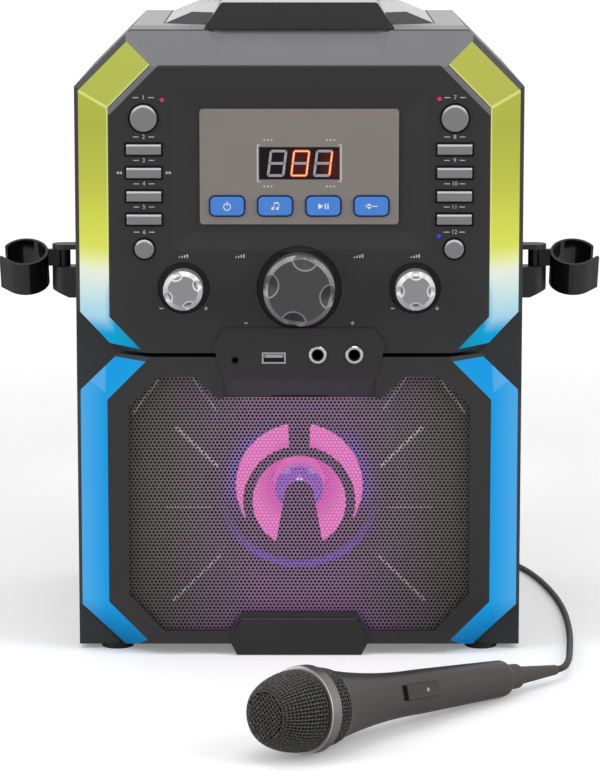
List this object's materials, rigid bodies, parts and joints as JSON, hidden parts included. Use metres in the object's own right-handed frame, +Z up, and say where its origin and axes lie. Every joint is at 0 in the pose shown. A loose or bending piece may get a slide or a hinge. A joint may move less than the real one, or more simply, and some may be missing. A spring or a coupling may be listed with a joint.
{
  "type": "karaoke machine",
  "caption": "Upright karaoke machine with a disc well under a hinged lid, lit bars, loudspeaker, side holders and a corded microphone.",
  "frame": {"origin": "on the floor under the middle of the cabinet", "axes": "+Z up, -Y towards the listener, +X to the right as seen from the front"},
  "size_m": [0.3712, 0.5531, 0.3956],
  "materials": {
    "housing": "satin black",
    "panel": "fine matt",
    "lid": "gloss black",
    "inner": "matt",
    "display_panel": "satin warm grey",
    "display_window": "dark tinted",
    "digits": "lit",
    "led_upper": "diffusing",
    "led_lower": "diffusing",
    "indicator": "lit",
    "button_silver": "painted silver",
    "button_blue": "satin",
    "knob_dark": "brushed dark grey",
    "knob_light": "brushed grey",
    "board": "solder mask",
    "steel": "plain",
    "chrome": "bright",
    "grille": "perforated, dark grey",
    "cone": "lit from behind",
    "dome": "translucent",
    "ring": "diffusing",
    "magnet": "plain",
    "rubber": "matt",
    "mic_body": "satin dark grey",
    "mic_mesh": "woven wire",
    "mic_band": "satin grey",
    "cord": "matt"
  },
  "bodies": {
    "machine": {"front_housing": "housing", "rear_housing": "housing", "control_panel": "panel", "disc_well": "inner", "disc_chassis": "steel", "display_panel": "display_panel", "display_window": "display_window", "digit_segments": "digits", "led_bars_upper": "led_upper", "led_bars_lower": "led_lower", "indicator_leds": "indicator", "circuit_boards": "board", "potentiometers": "steel", "mic_sockets": "chrome", "aux_socket": "inner", "usb_socket": "steel", "rear_sockets": "inner", "speaker_grille": "grille", "speaker_guard": "inner", "speaker_frame": "inner", "speaker_cone": "cone", "dust_dome": "dome", "light_ring": "ring", "speaker_magnet": "magnet", "base_plate": "housing", "feet": "rubber", "case_screws": "steel", "holder_brackets": "housing", "mic_grille": "mic_mesh", "mic_collar": "mic_band", "mic_handle": "mic_body", "mic_strain_relief": "rubber", "mic_cord": "cord", "mic_cord_coil": "cord", "mic_plug": "chrome"},
    "button_left_big": {"button_left_big": "button_silver"},
    "button_left_bar_1": {"button_left_bar_1": "button_silver"},
    "button_left_bar_2": {"button_left_bar_2": "button_silver"},
    "button_left_bar_3": {"button_left_bar_3": "button_silver"},
    "button_left_bar_4": {"button_left_bar_4": "button_silver"},
    "button_left_small": {"button_left_small": "button_silver"},
    "button_right_big": {"button_right_big": "button_silver"},
    "button_right_bar_1": {"button_right_bar_1": "button_silver"},
    "button_right_bar_2": {"button_right_bar_2": "button_silver"},
    "button_right_bar_3": {"button_right_bar_3": "button_silver"},
    "button_right_bar_4": {"button_right_bar_4": "button_silver"},
    "button_right_small": {"button_right_small": "button_silver"},
    "button_blue_1": {"button_blue_1": "button_blue"},
    "button_blue_2": {"button_blue_2": "button_blue"},
    "button_blue_3": {"button_blue_3": "button_blue"},
    "button_blue_4": {"button_blue_4": "button_blue"},
    "knob_left": {"knob_left": "knob_light"},
    "knob_main": {"knob_main": "knob_dark"},
    "knob_right": {"knob_right": "knob_light"},
    "disc_lid": {"disc_lid": "lid"},
    "turntable": {"turntable": "inner"},
    "pickup_sled": {"pickup_sled": "inner"},
    "holder_left": {"holder_left": "lid"},
    "holder_right": {"holder_right": "lid"},
    "mic_switch": {"mic_switch": "mic_body"}
  },
  "joints": [
    {"name": "button_left_big_press", "type": "slide", "parent": "machine", "child": "button_left_big", "axis": [0, 1, 0], "range_m": [0, 0.001], "stiffness_N_per_m": 400},
    {"name": "button_left_bar_1_press", "type": "slide", "parent": "machine", "child": "button_left_bar_1", "axis": [0, 1, 0], "range_m": [0, 0.001], "stiffness_N_per_m": 400},
    {"name": "button_left_bar_2_press", "type": "slide", "parent": "machine", "child": "button_left_bar_2", "axis": [0, 1, 0], "range_m": [0, 0.001], "stiffness_N_per_m": 400},
    {"name": "button_left_bar_3_press", "type": "slide", "parent": "machine", "child": "button_left_bar_3", "axis": [0, 1, 0], "range_m": [0, 0.001], "stiffness_N_per_m": 400},
    {"name": "button_left_bar_4_press", "type": "slide", "parent": "machine", "child": "button_left_bar_4", "axis": [0, 1, 0], "range_m": [0, 0.001], "stiffness_N_per_m": 400},
    {"name": "button_left_small_press", "type": "slide", "parent": "machine", "child": "button_left_small", "axis": [0, 1, 0], "range_m": [0, 0.001], "stiffness_N_per_m": 400},
    {"name": "button_right_big_press", "type": "slide", "parent": "machine", "child": "button_right_big", "axis": [0, 1, 0], "range_m": [0, 0.001], "stiffness_N_per_m": 400},
    {"name": "button_right_bar_1_press", "type": "slide", "parent": "machine", "child": "button_right_bar_1", "axis": [0, 1, 0], "range_m": [0, 0.001], "stiffness_N_per_m": 400},
    {"name": "button_right_bar_2_press", "type": "slide", "parent": "machine", "child": "button_right_bar_2", "axis": [0, 1, 0], "range_m": [0, 0.001], "stiffness_N_per_m": 400},
    {"name": "button_right_bar_3_press", "type": "slide", "parent": "machine", "child": "button_right_bar_3", "axis": [0, 1, 0], "range_m": [0, 0.001], "stiffness_N_per_m": 400},
    {"name": "button_right_bar_4_press", "type": "slide", "parent": "machine", "child": "button_right_bar_4", "axis": [0, 1, 0], "range_m": [0, 0.001], "stiffness_N_per_m": 400},
    {"name": "button_right_small_press", "type": "slide", "parent": "machine", "child": "button_right_small", "axis": [0, 1, 0], "range_m": [0, 0.001], "stiffness_N_per_m": 400},
    {"name": "button_blue_1_press", "type": "slide", "parent": "machine", "child": "button_blue_1", "axis": [0, 1, 0], "range_m": [0, 0.001], "stiffness_N_per_m": 400},
    {"name": "button_blue_2_press", "type": "slide", "parent": "machine", "child": "button_blue_2", "axis": [0, 1, 0], "range_m": [0, 0.001], "stiffness_N_per_m": 400},
    {"name": "button_blue_3_press", "type": "slide", "parent": "machine", "child": "button_blue_3", "axis": [0, 1, 0], "range_m": [0, 0.001], "stiffness_N_per_m": 400},
    {"name": "button_blue_4_press", "type": "slide", "parent": "machine", "child": "button_blue_4", "axis": [0, 1, 0], "range_m": [0, 0.001], "stiffness_N_per_m": 400},
    {"name": "knob_left_turn", "type": "hinge", "parent": "machine", "child": "knob_left", "pos_m": [-0.0694, -0.117, 0.226], "axis": [0, -1, 0], "range_deg": [-150, 150]},
    {"name": "knob_main_turn", "type": "hinge", "parent": "machine", "child": "knob_main", "pos_m": [0, -0.117, 0.226], "axis": [0, -1, 0], "range_deg": [-150, 150]},
    {"name": "knob_right_turn", "type": "hinge", "parent": "machine", "child": "knob_right", "pos_m": [0.0694, -0.117, 0.226], "axis": [0, -1, 0], "range_deg": [-150, 150]},
    {"name": "lid_hinge", "type": "hinge", "parent": "machine", "child": "disc_lid", "pos_m": [0, 0.1125, 0.3835], "axis": [-1, 0, 0], "range_deg": [0, 75]},
    {"name": "disc_spin", "type": "hinge", "parent": "machine", "child": "turntable", "pos_m": [0, 0.031, 0.366], "axis": [0, 0, 1], "continuous": true},
    {"name": "pickup_slide", "type": "slide", "parent": "machine", "child": "pickup_sled", "axis": [0, -1, 0], "range_m": [0, 0.033]},
    {"name": "holder_left_swing", "type": "hinge", "parent": "machine", "child": "holder_left", "pos_m": [-0.146, -0.04, 0.235], "axis": [0, 0, 1], "range_deg": [-45, 45]},
    {"name": "holder_right_swing", "type": "hinge", "parent": "machine", "child": "holder_right", "pos_m": [0.146, -0.04, 0.235], "axis": [0, 0, 1], "range_deg": [-45, 45]},
    {"name": "mic_switch_slide", "type": "slide", "parent": "machine", "child": "mic_switch", "axis": [-0.6835, -0.7253, 0.0816], "range_m": [0, 0.004]}
  ]
}
